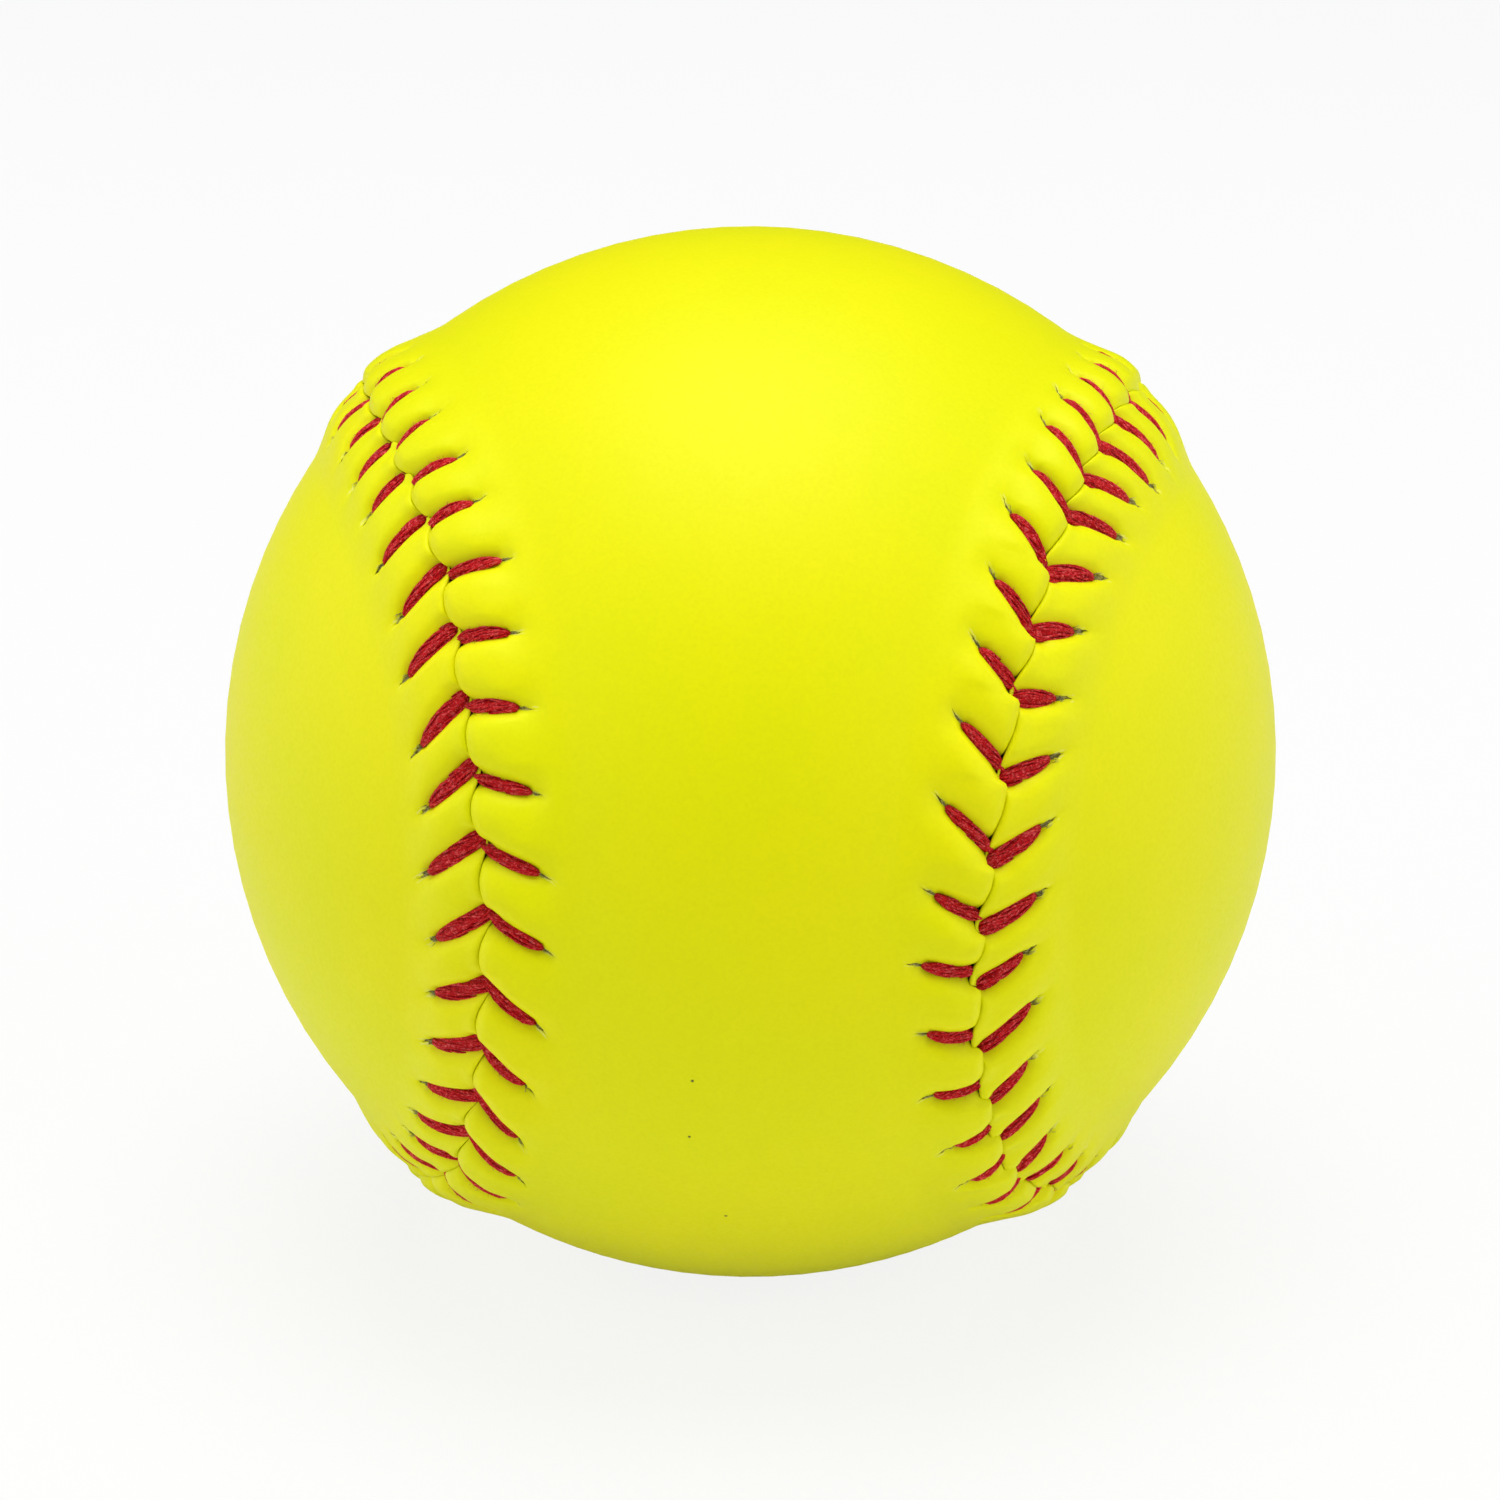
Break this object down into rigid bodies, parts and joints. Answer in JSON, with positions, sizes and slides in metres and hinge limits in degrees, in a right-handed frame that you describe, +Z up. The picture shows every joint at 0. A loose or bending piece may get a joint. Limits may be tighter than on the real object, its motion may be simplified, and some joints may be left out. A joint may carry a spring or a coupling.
{
  "type": "softball",
  "caption": "Softball with a raised seam: a moulded core under two figure-eight cover panels that are sewn together with waxed thread.",
  "frame": {"origin": "centre of the ball", "axes": "-Y towards the waist of the front panel, +X to its right, +Z up through the front panel's upper lobe; the lobes of the back panel face +X and -X, and its waist faces +Y"},
  "size_m": [0.0968, 0.097, 0.0968],
  "materials": {
    "core": "moulded polyurethane foam with a dense skin, off white, dull",
    "cement": "dried latex cement, tan, tacky",
    "backing": "dense non-woven fabric, dark grey",
    "skin": "optic yellow synthetic leather with a fine grain, satin",
    "thread": "waxed thread of several twisted plies, crimson"
  },
  "bodies": {
    "root": {"core": "core", "cement_coat": "cement", "front_panel_backing": "backing", "front_panel_skin": "skin", "back_panel_backing": "backing", "back_panel_skin": "skin", "first_thread": "thread", "second_thread": "thread"}
  },
  "joints": []
}
